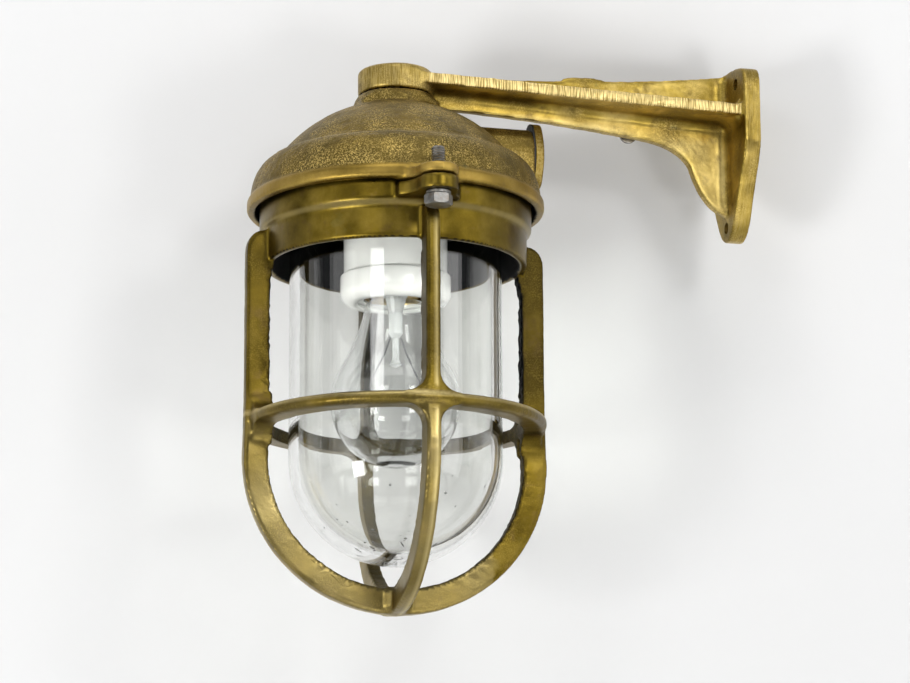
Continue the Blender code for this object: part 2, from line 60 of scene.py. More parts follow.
VIEW_TURN = math.radians(15.5)
VIEW_RISE = math.radians(12.52)
VIEW_DISTANCE = 1472.0
AIM_ASIDE = 27.3
ROLL = math.radians(-0.27)
sideways = Vector((math.cos(VIEW_TURN), -math.sin(VIEW_TURN), 0))
forward = Vector((math.sin(VIEW_TURN) * math.cos(VIEW_RISE), math.cos(VIEW_TURN) * math.cos(VIEW_RISE),
                  math.sin(VIEW_RISE)))
upward = sideways.cross(forward)
look = Matrix((sideways, upward, -forward)).transposed()
camera = bpy.data.objects.new("camera", bpy.data.cameras.new("camera"))
camera.data.lens = 126.6
camera.data.sensor_width = 36
camera.data.clip_end = 20
camera.matrix_world = (
    Matrix.Translation(TO_ROW @ (sideways * AIM_ASIDE - forward * VIEW_DISTANCE))
    @ look.to_4x4() @ Matrix.Rotation(ROLL, 4, "Z")
)
bpy.context.scene.collection.objects.link(camera)
bpy.context.scene.camera = camera


def paper(name, tone):
    """A matt sheet that is only there from its front, so that a view from behind looks through it."""
    coat = bpy.data.materials.new(name)
    coat.use_nodes = True
    nodes, links = coat.node_tree.nodes, coat.node_tree.links
    shader = nodes["Principled BSDF"]
    shader.inputs["Base Color"].default_value = (*tone, 1)
    shader.inputs["Roughness"].default_value = 0.9
    shader.inputs["Specular IOR Level"].default_value = 0.1
    side = nodes.new("ShaderNodeNewGeometry")
    clear = nodes.new("ShaderNodeBsdfTransparent")
    mix = nodes.new("ShaderNodeMixShader")
    links.new(side.outputs["Backfacing"], mix.inputs["Fac"])
    links.new(shader.outputs[0], mix.inputs[1])
    links.new(clear.outputs[0], mix.inputs[2])
    links.new(mix.outputs[0], nodes["Material Output"].inputs["Surface"])
    return coat


def sheet(name, middle, facing, half, coat):
    mesh = bpy.data.meshes.new(name)
    bm = bmesh.new()
    turn = facing.to_track_quat("Z", "Y").to_matrix().to_4x4()
    bmesh.ops.create_grid(bm, x_segments=1, y_segments=1, size=half,
                          matrix=Matrix.Translation(middle) @ turn)
    bm.to_mesh(mesh)
    bm.free()
    made = bpy.data.objects.new(name, mesh)
    mesh.materials.append(coat)
    bpy.context.scene.collection.objects.link(made)


BACKDROP_BEHIND = 105.0
sheet("backdrop", TO_ROW @ (forward * BACKDROP_BEHIND), -forward, 4.0,
      paper("backdrop_paper", (0.71, 0.71, 0.71)))
sheet("floor", TO_ROW @ Vector((0, 0, -620)), Vector((0, 0, 1)), 4.0,
      paper("floor_paper", (0.82, 0.82, 0.81)))

world = bpy.data.worlds.new("studio")
bpy.context.scene.world = world
world.use_nodes = True
world.node_tree.nodes["Background"].inputs["Color"].default_value = (0.93, 0.95, 1.0, 1)
world.node_tree.nodes["Background"].inputs["Strength"].default_value = 0.14
bpy.context.scene.view_settings.view_transform = "Standard"


def lamp(name, across, rise, off, size, watts, tone=(1, 1, 1)):
    """An area light, `across` and `rise` degrees round from the camera's line, facing the lantern."""
    light = bpy.data.lights.new(name, "AREA")
    light.shape = "RECTANGLE"
    light.size, light.size_y = size
    light.energy = watts
    light.color = tone
    made = bpy.data.objects.new(name, light)
    ahead = Matrix.Rotation(math.radians(across), 3, upward) @ Matrix.Rotation(
        math.radians(-rise), 3, sideways) @ -forward
    made.location = TO_ROW @ (ahead * off)
    made.rotation_euler = ahead.to_track_quat("Z", "Y").to_euler()
    bpy.context.scene.collection.objects.link(made)


lamp("left_softbox", -60, 14, 1500, (0.8, 1.4), 4.2)
lamp("right_softbox", 66, 10, 1500, (0.6, 1.4), 6.0)
lamp("top_softbox", 5, 68, 1300, (1.2, 0.8), 7.5)
lamp("front_softbox", -20, 26, 1400, (0.34, 0.26), 1.6)
lamp("arm_softbox", 31, 25, 1400, (0.30, 0.22), 4.0)
lamp("left_flash", -38, -9, 1400, (0.30, 0.36), 7.5)
lamp("right_flash", 29, -13, 1400, (0.24, 0.34), 4.2)


# Wall bracket: one sand casting in brass. A hub sits on the lamp's neck, an upright web and a level
# flange make the arm, and a shield-shaped plate takes three screws into the wall. The foundry ground
# its edges bright across and left the faces as they came from the sand.


def spun(profile, steps=96, at=(0, 0, 0)):
    """A turned solid from (radius, height) points; off the axis at both ends it is a closed ring."""
    bm = bmesh.new()
    points = [bm.verts.new((r, 0, z)) for r, z in profile]
    chain = [bm.edges.new(pair) for pair in zip(points, points[1:])]
    if profile[0][0] > 0:
        chain.append(bm.edges.new((points[-1], points[0])))
    bmesh.ops.spin(bm, geom=points + chain, cent=(0, 0, 0), axis=(0, 0, 1), dvec=(0, 0, 0),
                   angle=math.tau, steps=steps, use_merge=True)
    bmesh.ops.remove_doubles(bm, verts=bm.verts, dist=0.001)
    bmesh.ops.recalc_face_normals(bm, faces=bm.faces)
    bmesh.ops.translate(bm, verts=bm.verts, vec=at)
    return bm


def slab(outline, thickness, turn=Matrix.Identity(3), at=(0, 0, 0)):
    """A flat outline of (x, y) points, thickened to both sides, then turned and moved."""
    bm = bmesh.new()
    face = bm.faces.new([bm.verts.new((x, y, -thickness / 2)) for x, y in outline])
    lifted = bmesh.ops.extrude_face_region(bm, geom=[face])["geom"]
    bmesh.ops.translate(bm, verts=[v for v in lifted if isinstance(v, bmesh.types.BMVert)],
                        vec=(0, 0, thickness))
    bmesh.ops.recalc_face_normals(bm, faces=bm.faces)
    bmesh.ops.transform(bm, matrix=Matrix.Translation(at) @ turn.to_4x4(), verts=bm.verts)
    return bm


UPRIGHT = Matrix.Rotation(math.pi / 2, 3, "X")  # outline in X and Z
ALONG_X = Matrix(((0, 0, 1), (1, 0, 0), (0, 1, 0)))  # outline in Y and Z


def arc(centre, radii, start, end, count):
    angles = [math.radians(start + (end - start) * i / count) for i in range(count + 1)]
    return [(centre[0] + radii[0] * math.cos(a), centre[1] + radii[1] * math.sin(a)) for a in angles]


def bend(start, corner, end, count):
    """Points of a smooth curve that leaves `start` and reaches `end`, both aiming at `corner`."""
    a, b, c = Vector(start), Vector(corner), Vector(end)
    steps = [i / count for i in range(count + 1)]
    return [tuple(a * (1 - t) ** 2 + b * 2 * t * (1 - t) + c * t * t) for t in steps]


def cove(radius, x=1, y=1):
    """The outline of a hollow fillet in the corner at the origin, towards +x and +y."""
    hollow = arc((radius, radius), (radius, radius), 180, 270, 8)
    return [(px * x, py * y) for px, py in [(-1.5, -1.5), (-1.5, radius), *hollow, (radius, -1.5)]]


def mesh_of(bm, name):
    mesh = bpy.data.meshes.new(name)
    bm.to_mesh(mesh)
    bm.free()
    return mesh


def after(mesh, kind, **settings):
    """The mesh as one modifier leaves it."""
    holder = bpy.data.objects.new("holder", mesh)
    bpy.context.scene.collection.objects.link(holder)
    step = holder.modifiers.new(kind, kind)
    for key, value in settings.items():
        setattr(step, key, value)
    graph = bpy.context.evaluated_depsgraph_get()
    made = bpy.data.meshes.new_from_object(holder.evaluated_get(graph))
    bpy.data.objects.remove(holder)
    return made


def drilled(mesh, cutters, operation="DIFFERENCE"):
    """The mesh cut by, or met with, each closed bmesh."""
    for cutter in cutters:
        tool = bpy.data.objects.new("tool", mesh_of(cutter, "tool"))
        bpy.context.scene.collection.objects.link(tool)
        mesh = after(mesh, "BOOLEAN", operation=operation, solver="MANIFOLD", object=tool)
        bpy.data.objects.remove(tool)
    return mesh


def cast(name, solids, grain, relax=3, cutters=(), most=180000):
    """One casting from overlapping solids: fused, its corners softened, then drilled."""
    whole = bmesh.new()
    for solid in solids:
        part = mesh_of(solid, "part")
        whole.from_mesh(part)
        bpy.data.meshes.remove(part)
    mesh = after(mesh_of(whole, name), "REMESH", mode="VOXEL", voxel_size=grain)
    bm = bmesh.new()
    bm.from_mesh(mesh)
    for _ in range(relax):
        bmesh.ops.smooth_vert(bm, verts=bm.verts, factor=0.5,
                                 use_axis_x=True, use_axis_y=True, use_axis_z=True)
    mesh = mesh_of(bm, name)
    triangles = sum(len(p.vertices) - 2 for p in mesh.polygons)
    if triangles > most:
        mesh = after(mesh, "DECIMATE", ratio=most / triangles)
    mesh = drilled(mesh, cutters)
    mesh.name = name
    return mesh


def points_and_normals(mesh):
    count = len(mesh.vertices)
    points, normals = np.empty(count * 3, np.float32), np.empty(count * 3, np.float32)
    mesh.vertices.foreach_get("co", points)
    mesh.vertex_normals.foreach_get("vector", normals)
    return points.reshape(-1, 3), normals.reshape(-1, 3)


def paint(mesh, name, values):
    """Keeps how far a finish, a painted highlight or painted shade reaches each point, from 0 to 1, for the
    material to read.
    """
    layer = mesh.attributes.new(name, "FLOAT", "POINT")
    layer.data.foreach_set("value", np.clip(values, 0, 1).astype(np.float32))


def shove(mesh, amounts):
    """Moves each point along its normal."""
    points, normals = points_and_normals(mesh)
    mesh.vertices.foreach_set("co", (points + normals * amounts[:, None]).ravel())
    mesh.update()


def pebbles(points, size, seed=0.0):
    """Even noise from -1 to 1 over the points, with lumps of about `size` millimetres."""
    return np.array([noise.noise(Vector(p) / size + Vector((seed, 0, 0))) for p in points.tolist()])


def show(name, mesh, coat, body, slot, *nodes, sharp=40):
    """Places a finished mesh on its body, in the stead of its plain solids."""
    mesh.transform(TO_ROW)
    mesh.materials.clear()
    mesh.materials.append(coat)
    mesh.shade_smooth()
    mesh.set_sharp_from_angle(angle=math.radians(sharp))
    made = bpy.data.objects.new(name, mesh)
    bpy.context.scene.collection.objects.link(made)
    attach(made, body)
    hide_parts(*nodes)
    return made


def new_coat(name):
    coat = bpy.data.materials.new(name)
    coat.use_nodes = True
    return coat, coat.node_tree.nodes, coat.node_tree.links


def speckle(nodes, links, scale, detail=3.0, rough=0.55, stretch=(1, 1, 1), turn=(0, 0, 0)):
    """Noise on the piece's own coordinates; `scale` counts lumps to the metre."""
    where = nodes.new("ShaderNodeTexCoord")
    mapping = nodes.new("ShaderNodeMapping")
    mapping.inputs["Scale"].default_value = stretch
    mapping.inputs["Rotation"].default_value = turn
    grain = nodes.new("ShaderNodeTexNoise")
    grain.inputs["Scale"].default_value = scale
    grain.inputs["Detail"].default_value = detail
    grain.inputs["Roughness"].default_value = rough
    links.new(where.outputs["Object"], mapping.inputs["Vector"])
    links.new(mapping.outputs[0], grain.inputs["Vector"])
    return grain.outputs["Fac"]


def ramp(nodes, links, value, *stops):
    """Colours along a value, as (place, colour) stops."""
    made = nodes.new("ShaderNodeValToRGB")
    while len(made.color_ramp.elements) < len(stops):
        made.color_ramp.elements.new(0.5)
    for element, (place, colour) in zip(made.color_ramp.elements, stops):
        element.position = place
        element.color = (*colour, 1) if isinstance(colour, tuple) else (colour, colour, colour, 1)
    links.new(value, made.inputs["Fac"])
    return made.outputs["Color"]


def feed(links, source, target):
    if isinstance(source, (int, float)):
        target.default_value = source
    elif isinstance(source, tuple):
        target.default_value = (*source, 1)
    else:
        links.new(source, target)


def blend_of(nodes, links, amount, first, second):
    """first where amount is 0, second where it is 1; colours."""
    made = nodes.new("ShaderNodeMix")
    made.data_type = "RGBA"
    made.clamp_factor = True
    feed(links, amount, made.inputs["Factor"])
    feed(links, first, made.inputs["A"])
    feed(links, second, made.inputs["B"])
    return made.outputs["Result"]


def sum_of(nodes, links, operation, first, second):
    made = nodes.new("ShaderNodeMath")
    made.operation = operation
    made.use_clamp = operation != "MULTIPLY"
    feed(links, first, made.inputs[0])
    feed(links, second, made.inputs[1])
    return made.outputs[0]


def painted(nodes, name):
    made = nodes.new("ShaderNodeAttribute")
    made.attribute_name = name
    return made.outputs["Fac"]


DARK_PATINA = (0.090, 0.055, 0.004)
OLIVE_BRASS = (0.20, 0.135, 0.018)
WARM_BRASS = (0.34, 0.23, 0.045)
GROUND_BRASS = (0.90, 0.71, 0.31)
SAND_SKIN = (0.115, 0.078, 0.016)
GRAIN_GOLD = (0.64, 0.47, 0.15)
WORN_GOLD = (0.55, 0.37, 0.09)
# Near black for painted shade, in hollows and unlit insides of the brass.
SHADE_BLACK = (0.008, 0.008, 0.008)


def cast_brass(name, tone=(DARK_PATINA, OLIVE_BRASS, WARM_BRASS), skin=SAND_SKIN, grain=GRAIN_GOLD,
               cross=(1, 1, 1), shine=0.30, verdigris=0.45, wear_and_highlight_colour=WORN_GOLD):
    """Aged cast brass. Painted values say where it is sandy, where it is ground bright, where wear and
    painted highlights brighten it, and where painted shade darkens it to near black.
    """
    coat, nodes, links = new_coat(name)
    shader = nodes["Principled BSDF"]
    shader.inputs["Metallic"].default_value = 1.0
    cloud = speckle(nodes, links, 42, 5, 0.6)
    body = ramp(nodes, links, cloud, (0.30, tone[0]), (0.50, tone[1]), (0.70, tone[2]))
    stain = ramp(nodes, links, speckle(nodes, links, 160, 4), (0.56, 0.0), (0.72, 0.7))
    body = blend_of(nodes, links, stain, body, (0.13, 0.085, 0.025))
    green = ramp(nodes, links, speckle(nodes, links, 75, 5, 0.7), (0.63, 0.0), (0.72, verdigris))
    body = blend_of(nodes, links, green, body, (0.16, 0.20, 0.10))
    fine = speckle(nodes, links, 1500, 4, 0.75)
    patches = speckle(nodes, links, 70, 4, 0.65)
    flecks = ramp(nodes, links, fine, (0.49, 0.0), (0.58, 1.0))
    patch = ramp(nodes, links, patches, (0.38, 0.10), (0.58, 1.0))
    sandy = painted(nodes, "sandy")
    grains = blend_of(nodes, links, sum_of(nodes, links, "MULTIPLY", flecks, patch), skin, grain)
    body = blend_of(nodes, links, sandy, body, grains)
    scratch = speckle(nodes, links, 900, 1, 0.5, stretch=cross)
    streak = ramp(nodes, links, scratch, (0.40, 0.0), (0.56, 1.0))
    bright = blend_of(nodes, links, streak, (0.28, 0.19, 0.045), GROUND_BRASS)
    ground = painted(nodes, "ground")
    body = blend_of(nodes, links, ground, body, bright)
    # Wear and painted highlights: these values brighten the colour to the pale one passed in.
    wear_and_highlight = painted(nodes, "wear_and_highlight")
    body = blend_of(nodes, links, wear_and_highlight, body, wear_and_highlight_colour)
    # Painted shade: the 'inside' values darken the colour to near black.
    painted_shade = painted(nodes, "inside")
    body = blend_of(nodes, links, painted_shade, body, SHADE_BLACK)
    links.new(body, shader.inputs["Base Color"])
    dull = ramp(nodes, links, cloud, (0.3, shine), (0.7, shine + 0.16))
    dull = blend_of(nodes, links, sandy, dull, (0.52, 0.52, 0.52))
    dull = blend_of(nodes, links, painted_shade, dull, (0.6, 0.6, 0.6))
    links.new(dull, shader.inputs["Roughness"])
    coarse = sum_of(nodes, links, "MULTIPLY", speckle(nodes, links, 520, 4, 0.65), sandy)
    lines = sum_of(nodes, links, "MULTIPLY", scratch, ground)
    relief = sum_of(nodes, links, "ADD", coarse, sum_of(nodes, links, "MULTIPLY", lines, 0.6))
    relief = sum_of(nodes, links, "ADD", relief,
                    sum_of(nodes, links, "MULTIPLY", speckle(nodes, links, 210, 3), 0.12))
    bump = nodes.new("ShaderNodeBump")
    bump.inputs["Strength"].default_value = 0.55
    bump.inputs["Distance"].default_value = 0.0006
    links.new(relief, bump.inputs["Height"])
    links.new(bump.outputs[0], shader.inputs["Normal"])
    return coat


HUB_RADIUS, HUB_LOW = 17.7, 117.1
ARM_THICK, FLANGE_THICK = 5.0, 5.2
FLANGE_MID, FLANGE_LEAN = 123.95, math.radians(2.7)
PLATE_FRONT, WALL = 163.1, 171.5
FLANGE_SIDES = ((0, 15.4), (96, 21.5), (WALL - 2, 27.0))  # along the arm, half width

hub = spun([(0, 130.2), (10, 130.0), (15, 129.5), (16.8, 128.8), (HUB_RADIUS, 127.6), (HUB_RADIUS, 118.4),
            (17.2, HUB_LOW), (0, HUB_LOW)])
web = slab(
    [(6, 118.4), (18.2, 118.4), (20, 117), (20.2, 112.6)]
    + bend((20.2, 112.6), (75, 111), (120, 105.1), 12)[1:]
    + bend((120, 105.1), (139, 103), (144.6, 93), 12)[1:]
    + bend((144.6, 93), (151.3, 72), (PLATE_FRONT + 1, 69.5), 12)[1:]
    + [(PLATE_FRONT + 1, 138.9)]
    + bend((PLATE_FRONT - 1, 138.9), (110, 131), (41, 128.9), 14)
    + [(6, 129)], ARM_THICK, UPRIGHT)
edge = [(x, w) for x, w in FLANGE_SIDES]
flange = slab(edge + [(x, -w) for x, w in reversed(edge)], FLANGE_THICK,
              Matrix.Rotation(FLANGE_LEAN, 3, "Y"), (0, 0, FLANGE_MID))
half_plate = (
    bend((0, 140.3), (19, 139.6), (25, 136.6), 6) + bend((25, 136.6), (28, 134.6), (28, 130), 6)[1:]
    + bend((28, 102), (27.6, 95), (21, 85), 10) + bend((13, 69), (7.6, 57.4), (0, 57.4), 12)
)
plate = slab(half_plate + [(-y, z) for y, z in reversed(half_plate[1:-1])], WALL - PLATE_FRONT, ALONG_X,
             ((PLATE_FRONT + WALL) / 2, 0, 0))
stub = slab([(79, 129), (82, 132.4), (87, 133.4), (97, 133.6), (101.5, 132.8), (104, 129)], 4.4, UPRIGHT)

coves = []
for y in (1, -1):
    for z, radius in ((1, 3.5), (-1, 4.5)):
        strip = slab(cove(radius, y, z), 152, ALONG_X,
                     (89, y * ARM_THICK / 2, FLANGE_MID - 89 * math.tan(FLANGE_LEAN) + z * FLANGE_THICK / 2))
        bmesh.ops.rotate(strip, verts=strip.verts, cent=(89, 0, FLANGE_MID - 89 * math.tan(FLANGE_LEAN)),
                         matrix=Matrix.Rotation(FLANGE_LEAN, 3, "Y"))
        coves.append(strip)
    foot = slab(cove(5, -1, y), 62, Matrix.Identity(3), (PLATE_FRONT, y * ARM_THICK / 2, 105))
    coves.append(foot)
for z in (1, -1):
    joint = slab(cove(5, -1, z), 46, UPRIGHT,
                 (PLATE_FRONT, 0, FLANGE_MID - PLATE_FRONT * math.tan(FLANGE_LEAN) + z * FLANGE_THICK / 2))
    coves.append(joint)

wall_screw_holes = [
    spun([(0, 30), (2.75, 30), (2.75, 0), (0, 0)], 32) for _ in range(3)]
for hole, (y, z) in zip(wall_screw_holes, ((-16.8, 131), (16.8, 131), (0, 64.3))):
    bmesh.ops.transform(hole, verts=hole.verts,
                        matrix=Matrix.Translation((PLATE_FRONT - 12, y, z)) @ ALONG_X.to_4x4())

bracket = cast("bracket_casting", [hub, web, flange, plate, stub, *coves], 0.75, 2, wall_screw_holes)
at, facing = points_and_normals(bracket)
x, y, z = at.T
shove(bracket, pebbles(at, 9.0) * 0.12 + pebbles(at, 2.2, 5) * 0.05)
half_width = np.interp(x, *zip(*FLANGE_SIDES))
flange_edge = (np.abs(y) > half_width - 1.2) & (x > 12) & (x < PLATE_FRONT - 1)
plate_rim = (x > PLATE_FRONT + 0.8) & (np.abs(facing[:, 0]) < 0.75)
hub_side = (np.hypot(x, y) > HUB_RADIUS - 1) & (x < 14) & (z > HUB_LOW + 1)
web_under = (facing[:, 2] < -0.55) & (np.abs(y) < 2.2) & (z < 116) & (x > 60)
paint(bracket, "ground", flange_edge * 1.0 + plate_rim * 0.12 + hub_side * 0.22 + web_under * 0.3)
paint(bracket, "sandy", 0.22 + 0.5 * pebbles(at, 14.0, 3) + hub_side * 0.35)
# Painted highlight: the web's faces are brightened to the pale colour below the flange, standing in for the
# light they catch.
web_highlight_face = (np.abs(y) < 4) & (np.abs(facing[:, 1]) > 0.7) & (x > 20)
paint(bracket, "wear_and_highlight", web_highlight_face * np.clip((113 - z) / 8, 0, 1) * np.clip((118 - x) / 20, 0.25, 1)
      * (0.4 + 0.4 * pebbles(at, 11.0, 6)))
# Painted shade: the corners where the web meets the flange and the plate, and the hub's foot, are darkened
# towards black.
beside_web = np.maximum(0, np.abs(y) - ARM_THICK / 2)
under_flange = np.maximum(0, FLANGE_MID - x * math.tan(FLANGE_LEAN) - FLANGE_THICK / 2 - z)
crevice_shade = np.clip(1 - np.hypot(beside_web, np.minimum(under_flange, np.abs(PLATE_FRONT - x))) / 8, 0, 1)
hub_foot = (z < HUB_LOW + 2) & (np.hypot(x, y) < 17) & (z > 112)
paint(bracket, "inside",
      hub_foot + crevice_shade * (z < 122) * (x < PLATE_FRONT + 1) * (0.32 + 0.5 * pebbles(at, 6.0, 12)))
# The pale colour given to this casting serves only the painted highlight on the web.
bracket_brass = cast_brass("bracket_brass", ((0.16, 0.105, 0.011), (0.40, 0.28, 0.052), (0.78, 0.58, 0.18)),
                           cross=(4.2, 0.15, 0.15), shine=0.25, wear_and_highlight_colour=(0.98, 0.84, 0.46))
show("bracket_casting", bracket, bracket_brass, "lamp_body", "cast_brass", "bracket")


# Cap: a domed brass casting that keeps the sand's pitted skin. A hexagonal neck goes up to the hub, a
# boss on the wall side takes the cable, two lugs take the closure bolts, and the unlit inside is painted
# black as shade.

DOME_RADIUS, DOME_CENTRE, CAP_WALL = 68.3, 44.7, 4.0
RIM_RADIUS, RIM_LOW = 68.9, 59.7
NECK_TOP, NECK_CORNER = 116.8, 21.6
BOLT_CIRCLE = 76.0
CLAMP_LEDGE, POST_LOW, POST_REACH = 68.2, 78.3, 44.0
GLAND_HEIGHT, GLAND_FACE, SEAL_DEPTH = 92.7, 64.6, 11.5


def bolt_lug(side, low, high, root, root_half):
    """A lug round one closure bolt, its root spread along the rim."""
    reach = side * BOLT_CIRCLE
    nose = arc((0, reach), (9, 9 * side), 0, 180, 20)
    left = bend((-9, reach), (-9.5, side * 69.5), (-root_half[0], side * 65.5), 8)[1:]
    right = bend((root_half[1], side * 65.5), (9.2, side * 69), (9, reach), 8)[:-1]
    outline = [(root_half[1], side * root), *right, *nose, *left, (-root_half[0], side * root)]
    return slab(outline, high - low, at=(0, 0, (low + high) / 2))


dome_shell = spun(
    [(0, 112.6), (20, 110.4)] + arc((0, DOME_CENTRE), (DOME_RADIUS, DOME_RADIUS), 73, 35.7, 20)
    + arc((55.5, 66), (11.9, 18.6), 90, 0, 12)
    + [(68.3, 66.0), (RIM_RADIUS, 65.0), (RIM_RADIUS, 61.2), (68.2, 60.2), (65.8, RIM_LOW)]
    + [(64.9, RIM_LOW), (64.9, CLAMP_LEDGE), (50.5, CLAMP_LEDGE), (50.5, 71.7), (61, 71.7), (61, 74.5),
       (59, 79.2)]
    + arc((0, DOME_CENTRE), (DOME_RADIUS - CAP_WALL, DOME_RADIUS - CAP_WALL), 36, 88, 20)
    + [(0, 109.0)], 128)
neck = bmesh.new()
bmesh.ops.create_cone(neck, cap_ends=True, segments=6, radius1=NECK_CORNER, radius2=NECK_CORNER, depth=20,
                      matrix=Matrix.Translation((0, 0, NECK_TOP - 10)))
bmesh.ops.bevel(neck, geom=neck.edges, offset=0.8, segments=2, affect="EDGES", profile=0.5, material=-1)
neck_form = spun([(0, NECK_TOP + 1), (17.0, NECK_TOP + 1), (17.6, NECK_TOP), (24.4, 108), (24.4, 95),
                  (0, 95)], 64)
neck_mesh = drilled(mesh_of(neck, "neck"), [neck_form], "INTERSECT")
neck = bmesh.new()
neck.from_mesh(neck_mesh)
boss = slab(arc((0, GLAND_HEIGHT), (12.5, 12.5), 0, 180, 32) + [(-12.5, 67), (12.5, 67)], 34, ALONG_X,
            (GLAND_FACE - 17, 0, 0))
within_dome = [spun([(0, DOME_CENTRE + 66)] + arc((0, DOME_CENTRE), (66, 66), 88, 22, 16) + [(0, 69.4)], 96)
               for _ in range(2)]
posts = []
for side, limit in zip((-1, 1), within_dome):
    post = spun([(0, 105), (4.5, 105), (4.5, POST_LOW), (0, POST_LOW)], 32, (0, side * POST_REACH, 0))
    post_mesh = drilled(mesh_of(post, "post"), [limit], "INTERSECT")
    posts.append(bmesh.new())
    posts[-1].from_mesh(post_mesh)
cap_lugs = [bolt_lug(side, 58.9, 63.6, 62, (15.5, 13.0)) for side in (-1, 1)]


def boss_hollow():
    """The inside of the cap, which the boss and the neck mustn't fill."""
    return spun([(0, 108.9)]
                + arc((0, DOME_CENTRE), (DOME_RADIUS - CAP_WALL, DOME_RADIUS - CAP_WALL), 80, 36, 12)
                + [(59, 79.2), (61, 74.5), (61, 71.8), (0, 71.8)], 96)


def bore(radius, low, high, x=0, y=0, turn=Matrix.Identity(3)):
    """A round hole's core, from low to high along the axis that `turn` lays it on."""
    core = spun([(0, high), (radius, high), (radius, low), (0, low)], 40)
    bmesh.ops.transform(core, matrix=Matrix.Translation((x, y, 0)) @ turn.to_4x4(), verts=core.verts)
    return core


boss_mesh = drilled(mesh_of(boss, "boss"), [boss_hollow()])
boss = bmesh.new()
boss.from_mesh(boss_mesh)
cable_way = bore(5, GLAND_FACE - 30, GLAND_FACE + 4, turn=ALONG_X)
seal_pocket = bore(6.5, GLAND_FACE - SEAL_DEPTH, GLAND_FACE + 4, turn=ALONG_X)
for core in (cable_way, seal_pocket):
    bmesh.ops.translate(core, verts=core.verts, vec=(0, 0, GLAND_HEIGHT))
cap_holes = [bore(3.45, 50, 80, y=side * BOLT_CIRCLE) for side in (-1, 1)]
cap_holes += [bore(2.2, POST_LOW - 1, POST_LOW + 11, y=side * POST_REACH) for side in (-1, 1)]
cap = cast("cap_casting", [dome_shell, neck, boss, *cap_lugs, *posts], 0.85, 2,
           [cable_way, seal_pocket, bore(5.3, 103, 119), *cap_holes])
at, facing = points_and_normals(cap)
x, y, z = at.T
r = np.hypot(x, y)
outward = (at * facing).sum(1) - DOME_CENTRE * facing[:, 2]
# Painted shade: the unlit inside of the cap and its clamp ledge is painted black.
inner = ((outward < 0) & (z < 108) & (r < 62.5)) | ((r < 65.4) & (z < 69.5))
pits = np.maximum(0, pebbles(at, 1.9, 9) - 0.12) * 1.1 + np.maximum(0, pebbles(at, 4.5, 2) - 0.2) * 0.7
dome_skin = (z > 66.5) & ~inner
shove(cap, pebbles(at, 12.0, 4) * 0.16 - pits * dome_skin * 0.45 + pebbles(at, 1.6, 7) * 0.05)
paint(cap, "sandy", dome_skin * (0.78 + 0.5 * pebbles(at, 16.0, 3)) + (~dome_skin) * 0.10)
paint(cap, "inside", inner * 1.0)
bead = (r > 66.8) & (z < 66.2) & (z > 60.4)
lug_face = (r > 69.5) & (z < 64.5)
paint(cap, "ground", (dome_skin & (r > 54) & (r < 59.5)) * 0.10)
paint(cap, "wear_and_highlight", bead * (0.3 + 0.25 * pebbles(at, 12.0, 5)) + lug_face * 0.2)
dome_brass = cast_brass("dome_brass", ((0.105, 0.066, 0.008), (0.215, 0.142, 0.024), (0.36, 0.25, 0.06)),
                        skin=(0.105, 0.076, 0.022), shine=0.34)
show("cap_casting", cap, dome_brass, "lamp_body", "cast_brass", "cap_dome")


# Hub bolt and its spring washer: plain zinced steel, up through the cap's neck into the hub, and out of
# sight once the lamp is closed. The small earth screw under the arm is of the same steel.


def zinced_steel(name, stain=0.35):
    coat, nodes, links = new_coat(name)
    shader = nodes["Principled BSDF"]
    shader.inputs["Metallic"].default_value = 1.0
    cloud = speckle(nodes, links, 260, 4)
    grey = ramp(nodes, links, cloud, (0.35, (0.15, 0.145, 0.135)), (0.65, (0.31, 0.305, 0.29)))
    rust = ramp(nodes, links, speckle(nodes, links, 420, 4), (0.55, 0.0), (0.68, stain))
    links.new(blend_of(nodes, links, rust, grey, (0.20, 0.13, 0.07)), shader.inputs["Base Color"])
    links.new(ramp(nodes, links, cloud, (0.3, 0.34), (0.7, 0.50)), shader.inputs["Roughness"])
    bump = nodes.new("ShaderNodeBump")
    bump.inputs["Strength"].default_value = 0.25
    bump.inputs["Distance"].default_value = 0.0002
    links.new(speckle(nodes, links, 1500, 2), bump.inputs["Height"])
    links.new(bump.outputs[0], shader.inputs["Normal"])
    return coat


def recoat(coat, *nodes):
    """A hidden or plain piece keeps its solid and takes a better finish."""
    for node in nodes:
        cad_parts[node].data.materials.clear()
        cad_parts[node].data.materials.append(coat)


steel = zinced_steel("zinced_steel")
recoat(steel, "hub_bolt", "hub_washer")

earth_head = spun([(0, 6.2), (2.4, 6.0), (3.7, 5.2), (4.25, 4.0), (4.25, 2.8), (1.5, 2.8), (1.5, -2.4),
                   (0, -2.4)], 40)
EARTH_SCREW = (115.5, 108.3)
bmesh.ops.transform(earth_head, verts=earth_head.verts,
                    matrix=Matrix.Translation((EARTH_SCREW[0], 0, EARTH_SCREW[1]))
                    @ Matrix.Rotation(-math.pi / 2, 4, "X"))


def driver_slot(x, y, z, length, width, depth, turn=Matrix.Identity(3)):
    """The block that cuts a screw's slot; its depth runs along the turned Z axis."""
    tool = bmesh.new()
    bmesh.ops.create_cube(tool, size=1.0, matrix=Matrix.Translation((x, y, z)) @ turn.to_4x4()
                          @ Matrix.Diagonal((length, width, depth, 1)))
    return tool


slot_tool = driver_slot(EARTH_SCREW[0], 6.2, EARTH_SCREW[1], 12, 2.2, 1.1,
                        Matrix.Rotation(math.radians(35), 3, "Y"))
earth = drilled(mesh_of(earth_head, "earth_screw_turned"), [slot_tool])
show("earth_screw_slotted", earth, zinced_steel("earth_steel", 0.9), "lamp_body", "zinc_steel",
     "earth_screw", sharp=30)


